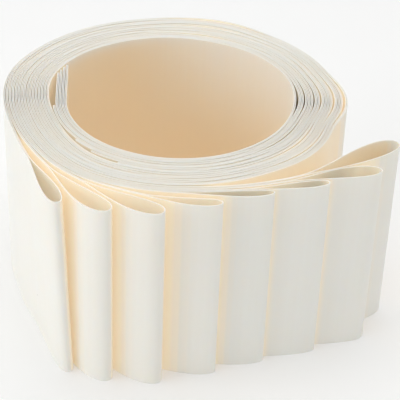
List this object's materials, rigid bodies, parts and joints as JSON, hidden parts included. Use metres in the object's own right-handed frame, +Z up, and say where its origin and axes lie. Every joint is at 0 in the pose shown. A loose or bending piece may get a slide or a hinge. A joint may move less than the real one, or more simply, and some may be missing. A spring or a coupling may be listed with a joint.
{
  "type": "roll of tree guard sleeves",
  "caption": "Roll of flat-pressed tree guard sleeves wound up together and standing on edge, the outer folds springing open as a fan of loops.",
  "frame": {"origin": "centre of the roll's footprint on the ground plane, midway between its extremes in X and Y", "axes": "+Z up along the roll's axis, +X to the right along the row of loops, +Y away from the loops"},
  "size_m": [0.2358, 0.229, 0.12],
  "materials": {
    "sheet": "soft translucent sheet, satin"
  },
  "bodies": {
    "sleeve_1": {"sleeve_1": "sheet"},
    "sleeve_2": {"sleeve_2": "sheet"},
    "sleeve_3": {"sleeve_3": "sheet"},
    "sleeve_4": {"sleeve_4": "sheet"},
    "sleeve_5": {"sleeve_5": "sheet"},
    "sleeve_6": {"sleeve_6": "sheet"},
    "sleeve_7": {"sleeve_7": "sheet"},
    "sleeve_8": {"sleeve_8": "sheet"}
  },
  "joints": [
    {"name": "draw_out_2", "type": "slide", "parent": "sleeve_1", "child": "sleeve_2", "axis": [0, 0, 1], "range_m": [0, 0.14]},
    {"name": "draw_out_3", "type": "slide", "parent": "sleeve_1", "child": "sleeve_3", "axis": [0, 0, 1], "range_m": [0, 0.14]},
    {"name": "draw_out_4", "type": "slide", "parent": "sleeve_1", "child": "sleeve_4", "axis": [0, 0, 1], "range_m": [0, 0.14]},
    {"name": "draw_out_5", "type": "slide", "parent": "sleeve_1", "child": "sleeve_5", "axis": [0, 0, 1], "range_m": [0, 0.14]},
    {"name": "draw_out_6", "type": "slide", "parent": "sleeve_1", "child": "sleeve_6", "axis": [0, 0, 1], "range_m": [0, 0.14]},
    {"name": "draw_out_7", "type": "slide", "parent": "sleeve_1", "child": "sleeve_7", "axis": [0, 0, 1], "range_m": [0, 0.14]},
    {"name": "draw_out_8", "type": "slide", "parent": "sleeve_1", "child": "sleeve_8", "axis": [0, 0, 1], "range_m": [0, 0.14]}
  ]
}
